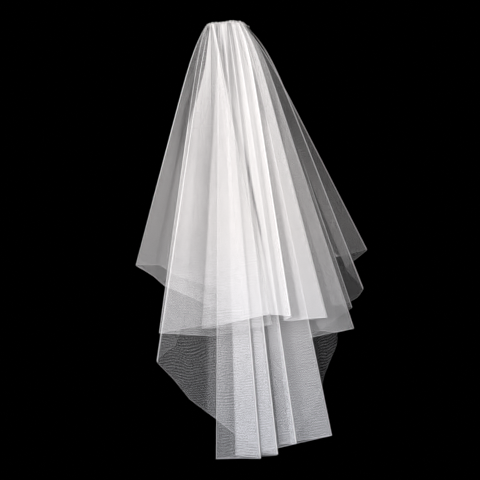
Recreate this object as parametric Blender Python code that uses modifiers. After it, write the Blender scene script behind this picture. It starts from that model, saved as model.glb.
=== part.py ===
"""Two-tier bridal veil of cut-edge tulle, gathered along one edge onto a small comb.

The veil hangs from its comb as it does when it is worn, with a hollow for the head under
it. Its frame is +Z up, with the origin at the middle of the comb, the comb's chord along X
and the wearer facing +Y. Sizes are in millimetres, and MM turns them into Blender's metres.

Each tier is one sheet of net. Along the comb it runs in a row of tight gathers, and along
its hem in wide folds. A fold is drawn as a round peg that the net passes round, so the comb
line and the hem line are both the path of a belt round a row of pegs. Every thread of net
between them hangs nearly straight, a little proud of the straight line near the comb.
"""
import math
from collections import namedtuple

import bmesh
import bpy
from mathutils import Vector

MM = 0.001

# The comb and the gathers
COMB_RADIUS = 70.0          # the head's curve that the comb follows
COMB_REACH = math.radians(16.4)
COMB_THICKNESS = 2.4
COMB_SPINE_TOP = 4.0
COMB_SPINE_BOTTOM = -2.5
COMB_TOOTH_TIP = -38.0
COMB_LEAN = 0.36            # how far the comb leans in under the net for its height
COMB_TEETH = 12
TOOTH_ROOT_SHARE = 0.55     # how much of its pitch a tooth takes at the spine
TOOTH_TIP_SHARE = 0.25
SAME_PLACE = 0.01           # points nearer than this are taken as one
COMB_ARCH = 8.0             # how far the gathers sink from the middle to each end
ARCH_REACH = math.radians(27.0)

# The net
NET_WALL = 1.0              # the cloth's solid wall
NET_TOP = 4.0               # height of the gathered edge above the comb's middle
GATHER_RADIUS = 0.9
SOFT_WAVE = "soft wave"
WAVE_TUCK = 1.2             # how far a soft wave's gather stays inside the others
WAVE_DEPTH = 4.5            # and how far it stands out at the hem
WAVE_RADIUS = 10.0
WAVE_BOW = 0.07
BOW_LENGTH = 0.08           # share of the drop in which the net swings out from the comb
ARC_STEPS = 4               # faces round each fold
# Shares of the way down at which the net has a row of points, closest near the comb
ROWS = (0.0, 0.013, 0.03, 0.055, 0.09, 0.14, 0.22, 0.35, 0.53, 0.76, 1.0)

# The gathered heading that covers both top edges and the comb's spine: its section from the
# outer lip over the top to the inner one, as the ring it lies on and its height
HEADING_SECTION = (
    (94.4, 1.2), (93.6, 2.6), (93.0, 4.2), (91.8, 5.15), (88.0, 5.2),
    (80.5, 5.2), (73.0, 5.3), (69.8, 5.7), (68.0, 5.2), (67.2, 3.5), (66.6, 1.0),
)
HEADING_REACH = math.radians(27.6)
HEADING_RIPPLE = 0.9        # how far the roll stands out at each gather
HEADING_GATHER = math.radians(4.2)
HEADING_STEPS_PER_RIPPLE = 4

# The tables below are set out as the veil is seen from behind its left shoulder, so the
# whole veil is turned by this much to bring the comb square to X
HEAD_TURN = math.radians(20.0)

# Which way the net turns at a fold: towards the outside, back in, or not at all
OUT = 1
IN = -1
FLAT = 0

Fold = namedtuple("Fold", "name right away drop turn radius comb bow")
GatherLine = namedtuple("GatherLine", "radius reach corner depth")

# The line that a tier is gathered along: an arc behind the comb that turns in sharply at
# both ends, and how far the gathers stand to each side of that line
UPPER_LINE = GatherLine(radius=86.75, reach=math.radians(22.5), corner=4.0, depth=2.75)
LOWER_LINE = GatherLine(radius=76.8, reach=math.radians(17.5), corner=3.6, depth=2.8)

# Each row is a fold at the hem, from the left cut edge round to the right one: where it is
# to the right of the comb's middle, away from the viewer and down, how it turns and how
# round it is, its place along the gathering line to the right of the middle, and how far
# it bows out on the way down
UPPER_FOLDS = (
    Fold("left cut edge", 42, 146, 474, FLAT, 0, -52.5, 0.05),
    Fold("left flap behind", -48, 154, 449, FLAT, 0, -50.5, 0.08),
    Fold("left flap dip", -95, 135, 433, FLAT, 0, -49.7, 0.09),
    Fold("left flap rise", -119, 118, 416, FLAT, 0, -49.3, 0.10),
    Fold("left side", -159, 66, 415, OUT, 9, -48.6, 0.10),
    Fold("left flap bend", -105, 4, 451, OUT, 10, -44.6, 0.10),
    Fold("left flap inner bend", -30, -30, 482, OUT, 10, -41.2, 0.08),
    Fold("left tuck", 44, -42, 502, IN, 5, -39.3, 0.08),
    Fold("left front fold", -112, -66, 528, OUT, 5, -37.0, 0.11),
    Fold("back bend", -24, -104, 531, OUT, 10, -32.5, 0.10),
    Fold("back fold", 77, -106, 511, OUT, 3, -28.0, 0.07),
    Fold("back tuck", -40, -80, 520, IN, 4, -16.0, 0.04),
    Fold("centre bend", 72, -82, 496, IN, 8, 4.0, 0.08),
    Fold("narrow fold", 108, -116, 497, OUT, 3, 15.0, 0.14),
    Fold("narrow tuck", 98, -88, 507, IN, 4, 17.6, 0.12),
    Fold("right back fold", 169, -104, 500, OUT, 3, 21.2, 0.12),
    Fold("right back tuck", 125, -68, 503, IN, 4, 24.2, 0.10),
    Fold("right corner hem step", 150, -66, 506, FLAT, 0, 26.2, 0.10),
    Fold("right corner hem low", 160, -65, 524, FLAT, 0, 26.6, 0.10),
    Fold("right corner hem", 187, -63, 527, FLAT, 0, 27.2, 0.10),
    Fold("right corner fold", 216, -60, 520, OUT, 3, 29.2, 0.09),
    Fold("right corner tuck", 143, -34, 538, IN, 5, 31.4, 0.08),
    Fold("thin right fold", 217, 4, 487, OUT, 3, 35.8, 0.08),
    Fold("thin right tuck", 184, 30, 484, IN, 5, 37.8, 0.04),
    Fold("right side hem low", 212, 43, 481, FLAT, 0, 39.5, 0.05),
    Fold("right side hem round", 229, 50, 472, FLAT, 0, 39.9, 0.06),
    Fold("right side fold", 240, 58, 456, OUT, 5, 41.3, 0.07),
    Fold("right side tuck", 211, 82, 421, IN, 5, 44.0, 0.03),
    Fold("right side", 250, 108, 388, OUT, 5, 47.4, 0.075),
    Fold("right cut edge", 197, 146, 402, FLAT, 0, 52.5, 0.05),
)
LOWER_FOLDS = (
    Fold("left cut edge", -78, 132, 519, FLAT, 0, -30.0, 0.04),
    Fold("left corner start", -91, 126, 560, FLAT, 0, -29.7, 0.04),
    Fold("left corner round", -110, 114, 573, FLAT, 0, -29.3, 0.04),
    Fold("left side", -123, 88, 586, OUT, 8, -28.4, 0.06),
    Fold("left hem bend", -64, 62, 651, OUT, 12, -24.4, 0.05),
    Fold("left hem low bend", 24, 54, 718, OUT, 12, -20.6, 0.05),
    Fold("inner tuck", 89, 54, 748, IN, 5, -18.4, 0.05),
    Fold("first pleat", -17, 8, 749, OUT, 4, -16.0, 0.05),
    Fold("second pleat", 59, -34, 743, OUT, 3, -9.0, 0.05),
    Fold("second tuck", 17, 2, 741, IN, 4, -6.0, 0.05),
    Fold("third pleat", 88, -42, 735, OUT, 3, -1.0, 0.05),
    Fold("third tuck", 62, -8, 735, IN, 4, 4.0, 0.05),
    Fold("fourth pleat", 120, -38, 717, OUT, 3, 9.0, 0.05),
    Fold("fourth tuck", 92, -4, 722, IN, 4, 14.0, 0.05),
    Fold("last pleat", 181, -22, 705, OUT, 3, 20.0, 0.05),
    Fold("last tuck", 112, 16, 726, IN, 5, 23.4, 0.05),
    Fold("right hem bend", 160, 40, 650, OUT, 10, 26.6, 0.05),
    Fold("right side", 195, 74, 553, OUT, 10, 30.0, 0.05),
    Fold("right cut edge", 192, 112, 479, FLAT, 0, 31.8, 0.05),
)


def clear_scene():
    """Remove whatever the new file came with."""
    for item in list(bpy.data.objects):
        bpy.data.objects.remove(item, do_unlink=True)


def ring_point(radius, angle):
    """A point on a ring about the head, right and away, at an angle from the comb's middle."""
    turned = angle + HEAD_TURN
    right = radius * math.sin(turned) - COMB_RADIUS * math.sin(HEAD_TURN)
    away = COMB_RADIUS * math.cos(HEAD_TURN) - radius * math.cos(turned)
    return right, away


def arch_drop(right, away):
    """How far the gathered edge has sunk at a point, because the comb is arched."""
    across = right + COMB_RADIUS * math.sin(HEAD_TURN)
    out = COMB_RADIUS * math.cos(HEAD_TURN) - away
    angle = math.atan2(across, out) - HEAD_TURN
    return COMB_ARCH * (angle / ARCH_REACH) ** 2


def with_soft_waves(folds):
    """Put one soft wave between two folds that turn the same way, so that turns alternate."""
    result = []
    for fold, following in zip(folds, folds[1:]):
        result.append(fold)
        if fold.turn == FLAT or fold.turn != following.turn:
            continue
        span_right = following.right - fold.right
        span_away = following.away - fold.away
        span = math.hypot(span_right, span_away)
        side = fold.turn * WAVE_DEPTH / span
        result.append(Fold(
            name=SOFT_WAVE,
            right=(fold.right + following.right) / 2 - side * span_away,
            away=(fold.away + following.away) / 2 + side * span_right,
            drop=(fold.drop + following.drop) / 2,
            turn=-fold.turn,
            radius=WAVE_RADIUS,
            comb=(fold.comb + following.comb) / 2,
            bow=WAVE_BOW,
        ))
    result.append(folds[-1])
    return result


def hem_pegs(folds):
    """The peg of each fold, whose round outer side touches the fold's place at the hem."""
    pegs = []
    for place, fold in enumerate(folds):
        centre = Vector((fold.right, fold.away))
        if fold.turn != FLAT:
            before = centre - Vector((folds[place - 1].right, folds[place - 1].away))
            after = centre - Vector((folds[place + 1].right, folds[place + 1].away))
            outward = (before.normalized() + after.normalized()).normalized()
            centre = centre - outward * fold.radius
        pegs.append((centre.x, centre.y, fold.radius, fold.turn))
    return pegs


def gather_spot(line, travel, out):
    """A point beside a gathering line: how far along from its middle and how far out."""
    arc = line.radius * line.reach
    past = max(abs(travel) - arc, 0.0)
    side = math.copysign(1.0, travel)
    turned = min(past / line.corner, math.pi / 2)
    inward = past - turned * line.corner
    angle = travel / line.radius if past == 0.0 else side * line.reach
    ring = line.radius - line.corner + (line.corner + out) * math.cos(turned) - inward
    beside = side * (line.corner + out) * math.sin(turned)
    right, away = ring_point(ring, angle)
    return (
        right + beside * math.cos(angle + HEAD_TURN),
        away + beside * math.sin(angle + HEAD_TURN),
    )


def comb_pegs(folds, line):
    """The peg of each fold at the comb, out from the gathering line or in from it."""
    pegs = []
    for fold in folds:
        out = fold.turn * line.depth
        if fold.name == SOFT_WAVE:
            out = line.depth - WAVE_TUCK
        radius = 0.0 if fold.turn == FLAT else GATHER_RADIUS
        pegs.append((*gather_spot(line, fold.comb, out), radius, fold.turn))
    return pegs


def belt(pegs):
    """The path of the net round a row of pegs, as points with the place of their fold."""
    headings = []
    for (x_one, y_one, r_one, turn_one), (x_two, y_two, r_two, turn_two) in zip(pegs, pegs[1:]):
        across = turn_two * r_two - turn_one * r_one
        length = math.hypot(x_two - x_one, y_two - y_one)
        headings.append(math.atan2(y_two - y_one, x_two - x_one) - math.asin(across / length))
    path = []
    for place, (x, y, radius, turn) in enumerate(pegs):
        if turn == FLAT:
            path.append((x, y, place))
            continue
        arriving = headings[place - 1]
        turned = (headings[place] - arriving) % (2 * math.pi)
        if turn == IN:
            turned -= 2 * math.pi
        for step in range(ARC_STEPS + 1):
            heading = arriving + turned * step / ARC_STEPS
            path.append((
                x + turn * radius * math.sin(heading),
                y - turn * radius * math.cos(heading),
                place,
            ))
    return path


def along_hem(path, values):
    """A value for each point of the hem, read between the middles of the folds."""
    travel = [0.0]
    for one, two in zip(path, path[1:]):
        travel.append(travel[-1] + math.dist(one[:2], two[:2]))
    middles = []
    for place in range(len(values)):
        spots = [count for count, point in enumerate(path) if point[2] == place]
        middles.append((travel[spots[0]] + travel[spots[-1]]) / 2)
    result = []
    for distance in travel:
        left = max(place for place in range(len(middles) - 1) if middles[place] <= distance)
        share = (distance - middles[left]) / (middles[left + 1] - middles[left])
        result.append(values[left] + (values[left + 1] - values[left]) * share)
    return result


def hang(comb_point, hem_point, drop, bow, share):
    """A point of the net at a share of the way from the comb down to the hem."""
    swing = share + bow * (1 - math.exp(-share / BOW_LENGTH)) * (1 - share)
    right = comb_point[0] + (hem_point[0] - comb_point[0]) * swing
    away = comb_point[1] + (hem_point[1] - comb_point[1]) * swing
    top = NET_TOP - arch_drop(comb_point[0], comb_point[1])
    return Vector((right, away, top + (-drop - top) * share))


def give_wall(piece, thickness):
    """Make a closed solid of an open surface, half its thickness to each side."""
    wall = piece.modifiers.new("wall", "SOLIDIFY")
    wall.thickness = thickness * MM
    wall.offset = 0.0


def grid_object(name, columns, rows, place, wall, material, collection, parent):
    """A grid of cloth put in place point by point, then given its wall."""
    mesh = bpy.data.meshes.new(name)
    sheet = bmesh.new()
    bmesh.ops.create_grid(sheet, x_segments=columns - 1, y_segments=rows - 1, size=0.5)
    for point in sheet.verts:
        column = round((point.co.x + 0.5) * (columns - 1))
        row = round((0.5 - point.co.y) * (rows - 1))
        point.co = place(column, row) * MM
    sheet.to_mesh(mesh)
    sheet.free()
    mesh.materials.append(material)
    mesh.shade_smooth()
    piece = bpy.data.objects.new(name, mesh)
    collection.objects.link(piece)
    piece.parent = parent
    give_wall(piece, wall)
    return piece


def make_tier(name, folds, line, material, collection, parent):
    """One tier: the net between its row of gathers and its folded hem."""
    folds = with_soft_waves(folds)
    comb_path = belt(comb_pegs(folds, line))
    hem_path = belt(hem_pegs(folds))
    drops = along_hem(hem_path, [fold.drop for fold in folds])
    bows = along_hem(hem_path, [fold.bow for fold in folds])

    def place(column, row):
        return hang(comb_path[column], hem_path[column], drops[column], bows[column], ROWS[row])

    return grid_object(name, len(comb_path), len(ROWS), place, NET_WALL, material, collection, parent)


def make_heading(material, collection, parent):
    """The gathered roll along the top: a rippled channel turned down over both tiers."""
    columns = round(2 * HEADING_REACH / HEADING_GATHER * HEADING_STEPS_PER_RIPPLE) + 1
    outer = HEADING_SECTION[0][0]
    inner = HEADING_SECTION[-1][0]

    def place(column, row):
        angle = (2 * column / (columns - 1) - 1) * HEADING_REACH
        radius, height = HEADING_SECTION[row]
        crest = 0.5 + 0.5 * math.cos(2 * math.pi * angle / HEADING_GATHER)
        outward = (radius - inner) / (outer - inner)
        radius += HEADING_RIPPLE * crest * outward
        right, away = ring_point(radius, angle)
        return Vector((right, away, height - arch_drop(right, away)))

    rows = len(HEADING_SECTION)
    return grid_object("heading", columns, rows, place, NET_WALL, material, collection, parent)


def make_comb(material, collection, parent):
    """The comb: a flat spine with teeth drawn down from it, bent to the head's curve."""
    length = 2 * COMB_RADIUS * COMB_REACH
    pitch = length / COMB_TEETH
    root = pitch * TOOTH_ROOT_SHARE / 2
    middles = [(count + 0.5) * pitch - length / 2 for count in range(COMB_TEETH)]
    stops = [-length / 2]
    for middle in middles:
        stops += [middle - root, middle + root]
    stops.append(length / 2)
    flat = bmesh.new()
    bmesh.ops.create_grid(flat, x_segments=len(stops) - 1, y_segments=1, size=0.5)
    for point in flat.verts:
        column = round((point.co.x + 0.5) * (len(stops) - 1))
        height = COMB_SPINE_TOP if point.co.y > 0 else COMB_SPINE_BOTTOM
        point.co = Vector((stops[column], height, 0.0))
    flat.edges.ensure_lookup_table()
    for middle in middles:
        roots = [
            edge for edge in flat.edges
            if all(abs(abs(end.co.x - middle) - root) < SAME_PLACE for end in edge.verts)
            and all(abs(end.co.y - COMB_SPINE_BOTTOM) < SAME_PLACE for end in edge.verts)
        ]
        drawn = bmesh.ops.extrude_edge_only(flat, edges=roots)
        for point in drawn["geom"]:
            if isinstance(point, bmesh.types.BMVert):
                narrower = TOOTH_TIP_SHARE / TOOTH_ROOT_SHARE
                point.co.x = middle + (point.co.x - middle) * narrower
                point.co.y = COMB_TOOTH_TIP
    for point in flat.verts:
        along, height, _ = point.co
        lean = COMB_LEAN * (COMB_SPINE_TOP - height)
        right, away = ring_point(COMB_RADIUS - lean, along / COMB_RADIUS)
        point.co = Vector((right, away, height - arch_drop(right, away))) * MM
    bmesh.ops.recalc_face_normals(flat, faces=flat.faces)
    mesh = bpy.data.meshes.new("comb")
    flat.to_mesh(mesh)
    flat.free()
    mesh.materials.append(material)
    comb = bpy.data.objects.new("comb", mesh)
    collection.objects.link(comb)
    comb.parent = parent
    give_wall(comb, COMB_THICKNESS)
    return comb


def make_material(name, colour, roughness):
    """A plain finish with the colour and roughness of one of the veil's stuffs."""
    material = bpy.data.materials.new(name)
    material.use_nodes = True
    shader = material.node_tree.nodes["Principled BSDF"]
    shader.inputs["Base Color"].default_value = (*colour, 1.0)
    shader.inputs["Roughness"].default_value = roughness
    shader.inputs["Metallic"].default_value = 0.0
    return material


def main():
    clear_scene()
    veil = bpy.data.collections.new("bridal_veil")
    bpy.context.scene.collection.children.link(veil)
    turned = bpy.data.objects.new("head_turn", None)
    turned.rotation_euler.z = -HEAD_TURN
    veil.objects.link(turned)
    tulle = make_material("tulle", (0.90, 0.90, 0.93), 0.75)
    tulle_folded = make_material("gathered_tulle", (0.94, 0.93, 0.93), 0.7)
    plastic = make_material("clear_comb", (0.86, 0.88, 0.90), 0.25)
    make_comb(plastic, veil, turned)
    make_heading(tulle_folded, veil, turned)
    make_tier("upper_tier", UPPER_FOLDS, UPPER_LINE, tulle, veil, turned)
    make_tier("lower_tier", LOWER_FOLDS, LOWER_LINE, tulle, veil, turned)
    bpy.context.view_layer.update()


main()
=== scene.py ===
# %% [markdown]
# A two-tier bridal veil
#
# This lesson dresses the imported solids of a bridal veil: two sheets of plain cut-edge tulle,
# gathered along one side and sewn to a small hair comb. On the real veil everything that
# shows is the net itself: how many layers lie over each other, where a fold doubles it, and
# where the gathers crowd it together. So most of the work goes into those three things.

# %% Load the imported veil
import math
from collections import namedtuple

import bmesh
import bpy
import numpy as np
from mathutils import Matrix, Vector


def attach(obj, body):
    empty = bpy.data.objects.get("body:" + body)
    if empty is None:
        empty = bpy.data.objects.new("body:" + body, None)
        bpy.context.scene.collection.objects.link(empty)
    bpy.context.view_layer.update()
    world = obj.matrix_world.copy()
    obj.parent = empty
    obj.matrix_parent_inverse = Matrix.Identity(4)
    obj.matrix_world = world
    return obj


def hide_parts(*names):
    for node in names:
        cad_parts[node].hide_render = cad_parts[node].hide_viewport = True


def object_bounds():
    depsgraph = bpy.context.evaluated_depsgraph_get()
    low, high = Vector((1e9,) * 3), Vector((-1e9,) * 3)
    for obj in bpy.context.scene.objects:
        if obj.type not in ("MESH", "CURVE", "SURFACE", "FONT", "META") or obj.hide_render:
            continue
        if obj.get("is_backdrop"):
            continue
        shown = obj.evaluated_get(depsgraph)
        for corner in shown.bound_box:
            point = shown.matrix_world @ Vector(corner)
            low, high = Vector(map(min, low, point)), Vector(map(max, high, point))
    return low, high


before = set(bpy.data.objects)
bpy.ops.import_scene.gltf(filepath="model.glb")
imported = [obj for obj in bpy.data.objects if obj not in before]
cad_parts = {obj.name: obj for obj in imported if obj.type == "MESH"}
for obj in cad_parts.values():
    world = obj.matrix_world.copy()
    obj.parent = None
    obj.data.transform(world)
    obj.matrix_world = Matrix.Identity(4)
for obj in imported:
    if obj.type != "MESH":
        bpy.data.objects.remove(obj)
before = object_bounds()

print("solids:", sorted(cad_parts), "from", before[0], "to", before[1])

# %% [markdown]
# The sizes of the veil
#
# The veil is measured in millimetres, in a frame that looks at it from behind its left
# shoulder: right, away and up from the middle of the comb. The comb itself faces square to
# X, so at the end everything is turned by HEAD_TURN. Each fold of the hem is one row of a
# table: where it lies, which way the net turns there, how round it is, its place along the
# comb and how far it bows out on the way down. Nearly the same rows shape the solids: three
# bows differ by a few millimetres, and here the net gets finer steps, creases and gathers.

# %% Sizes
MM = 0.001
HEAD_TURN = math.radians(20.0)
COMB_RADIUS = 70.0
COMB_ARCH = 8.0
ARCH_REACH = math.radians(27.0)
NET_TOP = 3.4
SAG, SAG_MIDDLE, SAG_REACH = 3.0, math.radians(-9.0), math.radians(9.0)
GATHER_RADIUS = 0.9
SOFT_WAVE = "soft wave"
WAVE_TUCK = 1.2
WAVE_DEPTH = 4.5
WAVE_RADIUS = 10.0
WAVE_BOW = 0.07
BOW_LENGTH = 0.08
OUT, IN, FLAT = 1, -1, 0

Fold = namedtuple("Fold", "name right away drop turn radius comb bow")
GatherLine = namedtuple("GatherLine", "radius reach corner depth")
UPPER_LINE = GatherLine(radius=86.75, reach=math.radians(22.5), corner=4.0, depth=2.75)
LOWER_LINE = GatherLine(radius=76.8, reach=math.radians(17.5), corner=3.6, depth=2.8)
print("gathering lines:", UPPER_LINE.radius, "and", LOWER_LINE.radius, "mm from the ring's middle")

# %% Folds of the upper tier
UPPER_FOLDS = tuple(Fold(*row) for row in (
    ("left cut edge", 42, 146, 474, FLAT, 0, -52.5, 0.05),
    ("left flap behind", -48, 154, 449, FLAT, 0, -50.5, 0.08),
    ("left flap dip", -95, 135, 433, FLAT, 0, -49.7, 0.09),
    ("left flap rise", -119, 118, 416, FLAT, 0, -49.3, 0.1),
    ("left side", -159, 66, 415, OUT, 9, -48.6, 0.1),
    ("left flap bend", -105, 4, 451, OUT, 10, -44.6, 0.1),
    ("left flap inner bend", -30, -30, 482, OUT, 10, -41.2, 0.08),
    ("left tuck", 44, -42, 502, IN, 5, -39.3, 0.08),
    ("left front fold", -112, -66, 528, OUT, 5, -37, 0.11),
    ("back bend", -24, -104, 531, OUT, 10, -32.5, 0.1),
    ("back fold", 77, -106, 511, OUT, 3, -28, 0.01),
    ("back tuck", -40, -80, 520, IN, 4, -16, 0.04),
    ("centre bend", 72, -82, 496, IN, 8, 4, 0.08),
    ("narrow fold", 108, -116, 497, OUT, 3, 15, 0.14),
    ("narrow tuck", 98, -88, 507, IN, 4, 17.6, 0.12),
    ("right back fold", 169, -104, 500, OUT, 3, 21.2, 0.12),
    ("right back tuck", 125, -68, 503, IN, 4, 24.2, 0.1),
    ("right corner hem step", 150, -66, 506, FLAT, 0, 26.2, 0.1),
    ("right corner hem low", 160, -65, 524, FLAT, 0, 26.6, 0.1),
    ("right corner hem", 187, -63, 527, FLAT, 0, 27.2, 0.1),
    ("right corner fold", 216, -60, 520, OUT, 3, 29.2, 0.09),
    ("right corner tuck", 143, -34, 538, IN, 5, 31.4, 0.08),
    ("thin right fold", 217, 4, 487, OUT, 3, 35.8, 0.08),
    ("thin right tuck", 184, 30, 484, IN, 5, 37.8, 0.04),
    ("right side hem low", 212, 43, 481, FLAT, 0, 39.5, 0.05),
    ("right side hem round", 229, 50, 472, FLAT, 0, 39.9, 0.06),
    ("right side fold", 240, 58, 456, OUT, 5, 41.3, 0.12),
    ("right side tuck", 211, 82, 421, IN, 5, 44, 0.03),
    ("right side", 250, 108, 388, OUT, 5, 47.4, 0.075),
    ("right cut edge", 197, 146, 402, FLAT, 0, 52.5, 0.05),
))
print("folds of the upper tier:", len(UPPER_FOLDS))

# %% Folds of the lower tier
LOWER_FOLDS = tuple(Fold(*row) for row in (
    ("left cut edge", -78, 132, 519, FLAT, 0, -30, 0.04),
    ("left corner start", -91, 126, 560, FLAT, 0, -29.7, 0.04),
    ("left corner round", -110, 114, 573, FLAT, 0, -29.3, 0.04),
    ("left side", -123, 88, 586, OUT, 8, -28.4, 0.06),
    ("left hem bend", -64, 62, 651, OUT, 12, -24.4, 0.05),
    ("left hem low bend", 24, 54, 718, OUT, 12, -20.6, 0.05),
    ("inner tuck", 89, 54, 748, IN, 5, -18.4, 0.05),
    ("first pleat", -17, 8, 749, OUT, 4, -16, 0.05),
    ("second pleat", 59, -34, 743, OUT, 3, -9, 0.05),
    ("second tuck", 17, 2, 741, IN, 4, -6, 0.05),
    ("third pleat", 88, -42, 735, OUT, 3, -1, 0.05),
    ("third tuck", 62, -8, 735, IN, 4, 4, 0.05),
    ("fourth pleat", 120, -38, 717, OUT, 3, 9, 0.05),
    ("fourth tuck", 92, -4, 722, IN, 4, 14, 0.05),
    ("last pleat", 181, -22, 705, OUT, 3, 20, 0.1),
    ("last tuck", 112, 16, 726, IN, 5, 23.4, 0.05),
    ("right hem bend", 160, 40, 650, OUT, 10, 26.6, 0.05),
    ("right side", 195, 74, 553, OUT, 10, 30, 0.05),
    ("right cut edge", 192, 112, 479, FLAT, 0, 31.8, 0.05),
))
print("folds of the lower tier:", len(LOWER_FOLDS))

# %% [markdown]
# From a row of pegs to the path of the net
#
# Seen from above, hanging net winds from fold to fold like a belt round pegs. One belt runs
# along the comb, where the pegs are tight gathers, and one along the hem, where they are the
# wide folds of the tables. A point of the net hangs on the line between the same spot of
# both belts. That is quicker than a cloth simulation and puts every fold where it belongs.

# %% Places on the comb's ring
def ring_point(radius, angle):
    """Right and away of a point on a ring round the head, by its angle from the comb."""
    turned = angle + HEAD_TURN
    right = radius * math.sin(turned) - COMB_RADIUS * math.sin(HEAD_TURN)
    away = COMB_RADIUS * math.cos(HEAD_TURN) - radius * math.cos(turned)
    return right, away


def ring_angle(right, away):
    across = right + COMB_RADIUS * math.sin(HEAD_TURN)
    out = COMB_RADIUS * math.cos(HEAD_TURN) - away
    return np.arctan2(across, out) - HEAD_TURN


def arch_drop(right, away):
    """How far the comb's arch drops towards its ends."""
    return COMB_ARCH * (ring_angle(right, away) / ARCH_REACH) ** 2


def gather_sag(right, away):
    """How far the gathered edge sags on its left half, where the comb is pushed down."""
    return SAG * np.exp(-(((ring_angle(right, away) - SAG_MIDDLE) / SAG_REACH) ** 2))


def head_turned(points):
    """Millimetres in the viewer's frame to metres square to the comb."""
    cos, sin = math.cos(HEAD_TURN), math.sin(HEAD_TURN)
    turn = np.array([[cos, sin, 0.0], [-sin, cos, 0.0], [0.0, 0.0, 1.0]])
    return points @ turn.T * MM


print("drop at the arch's end:", round(float(arch_drop(*ring_point(COMB_RADIUS, ARCH_REACH))), 2))

# %% Soft waves between two folds that turn the same way
def with_soft_waves(folds):
    """The folds, with a shallow wave the other way between two that turn alike."""
    result = []
    for fold, following in zip(folds, folds[1:]):
        result.append(fold)
        if fold.turn == FLAT or fold.turn != following.turn:
            continue
        span_right = following.right - fold.right
        span_away = following.away - fold.away
        side = fold.turn * WAVE_DEPTH / math.hypot(span_right, span_away)
        result.append(Fold(
            SOFT_WAVE,
            (fold.right + following.right) / 2 - side * span_away,
            (fold.away + following.away) / 2 + side * span_right,
            (fold.drop + following.drop) / 2,
            -fold.turn, WAVE_RADIUS, (fold.comb + following.comb) / 2, WAVE_BOW,
        ))
    result.append(folds[-1])
    return result


upper_waves = with_soft_waves(UPPER_FOLDS)
lower_waves = with_soft_waves(LOWER_FOLDS)
print("rows with soft waves:", len(upper_waves), "and", len(lower_waves))

# %% Pegs at the hem and at the comb
def hem_pegs(folds):
    """Middle, radius and turn of each fold's peg, inside the fold's outermost point."""
    pegs = []
    for place, fold in enumerate(folds):
        centre = Vector((fold.right, fold.away))
        if fold.turn != FLAT:
            before_it = centre - Vector((folds[place - 1].right, folds[place - 1].away))
            after_it = centre - Vector((folds[place + 1].right, folds[place + 1].away))
            outward = (before_it.normalized() + after_it.normalized()).normalized()
            centre = centre - outward * fold.radius
        pegs.append((centre.x, centre.y, fold.radius, fold.turn))
    return pegs


def gather_spot(line, travel, out):
    """A point beside a gathering line: how far along from its middle and how far out."""
    arc = line.radius * line.reach
    past = max(abs(travel) - arc, 0.0)
    side = math.copysign(1.0, travel)
    turned = min(past / line.corner, math.pi / 2)
    inward = past - turned * line.corner
    angle = travel / line.radius if past == 0.0 else side * line.reach
    ring = line.radius - line.corner + (line.corner + out) * math.cos(turned) - inward
    beside = side * (line.corner + out) * math.sin(turned)
    right, away = ring_point(ring, angle)
    return (
        right + beside * math.cos(angle + HEAD_TURN),
        away + beside * math.sin(angle + HEAD_TURN),
    )


def comb_pegs(folds, line):
    """The peg of each fold at the comb, out from the gathering line or in from it."""
    pegs = []
    for fold in folds:
        out = fold.turn * line.depth
        if fold.name == SOFT_WAVE:
            out = line.depth - WAVE_TUCK
        radius = 0.0 if fold.turn == FLAT else GATHER_RADIUS
        pegs.append((*gather_spot(line, fold.comb, out), radius, fold.turn))
    return pegs


print("first peg at the comb:", [round(side, 1) for side in comb_pegs(upper_waves, UPPER_LINE)[0]])

# %% The belt round the pegs
ARC_STEPS = 8


def belt_arcs(pegs):
    """For each peg, the points where the belt lies on it."""
    headings = []
    for (x_one, y_one, r_one, turn_one), (x_two, y_two, r_two, turn_two) in zip(pegs, pegs[1:]):
        across = turn_two * r_two - turn_one * r_one
        length = math.hypot(x_two - x_one, y_two - y_one)
        headings.append(math.atan2(y_two - y_one, x_two - x_one) - math.asin(across / length))
    arcs = []
    for place, (x, y, radius, turn) in enumerate(pegs):
        if turn == FLAT:
            arcs.append([(x, y)])
            continue
        arriving = headings[place - 1]
        turned = (headings[place] - arriving) % (2 * math.pi)
        if turn == IN:
            turned -= 2 * math.pi
        ways = [arriving + turned * step / ARC_STEPS for step in range(ARC_STEPS + 1)]
        arcs.append([
            (x + turn * radius * math.sin(way), y - turn * radius * math.cos(way)) for way in ways
        ])
    return arcs


print("points on the upper hem's pegs:", sum(map(len, belt_arcs(hem_pegs(upper_waves)))))

# %% Both belts with the same columns
COLUMN_STEP = 5.0
Paths = namedtuple("Paths", "comb hem travel comb_travel middles comb_middles")


def matched_paths(folds, line):
    """Both belts with the same columns, and how far along each of them the folds lie."""
    comb_arcs = belt_arcs(comb_pegs(folds, line))
    hem_arcs = belt_arcs(hem_pegs(folds))
    comb, hem, middle_columns = [], [], []
    for place, (top, low) in enumerate(zip(comb_arcs, hem_arcs)):
        middle_columns.append(len(hem) + len(low) // 2)
        comb += top
        hem += low
        if place + 1 == len(folds):
            break
        hem_from, comb_from = low[-1], top[-1]
        hem_to, comb_to = hem_arcs[place + 1][0], comb_arcs[place + 1][0]
        pieces = math.ceil(math.dist(hem_from, hem_to) / COLUMN_STEP)
        for step in range(1, pieces):
            part = step / pieces
            hem.append(tuple(a + (b - a) * part for a, b in zip(hem_from, hem_to)))
            comb.append(tuple(a + (b - a) * part for a, b in zip(comb_from, comb_to)))
    comb, hem = np.array(comb), np.array(hem)
    travel, comb_travel = (
        np.concatenate([[0.0], np.cumsum(np.hypot(*np.diff(belt, axis=0).T))])
        for belt in (hem, comb)
    )
    middles, comb_middles = travel[middle_columns], comb_travel[middle_columns]
    return Paths(comb, hem, travel, comb_travel, middles, comb_middles)


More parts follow.
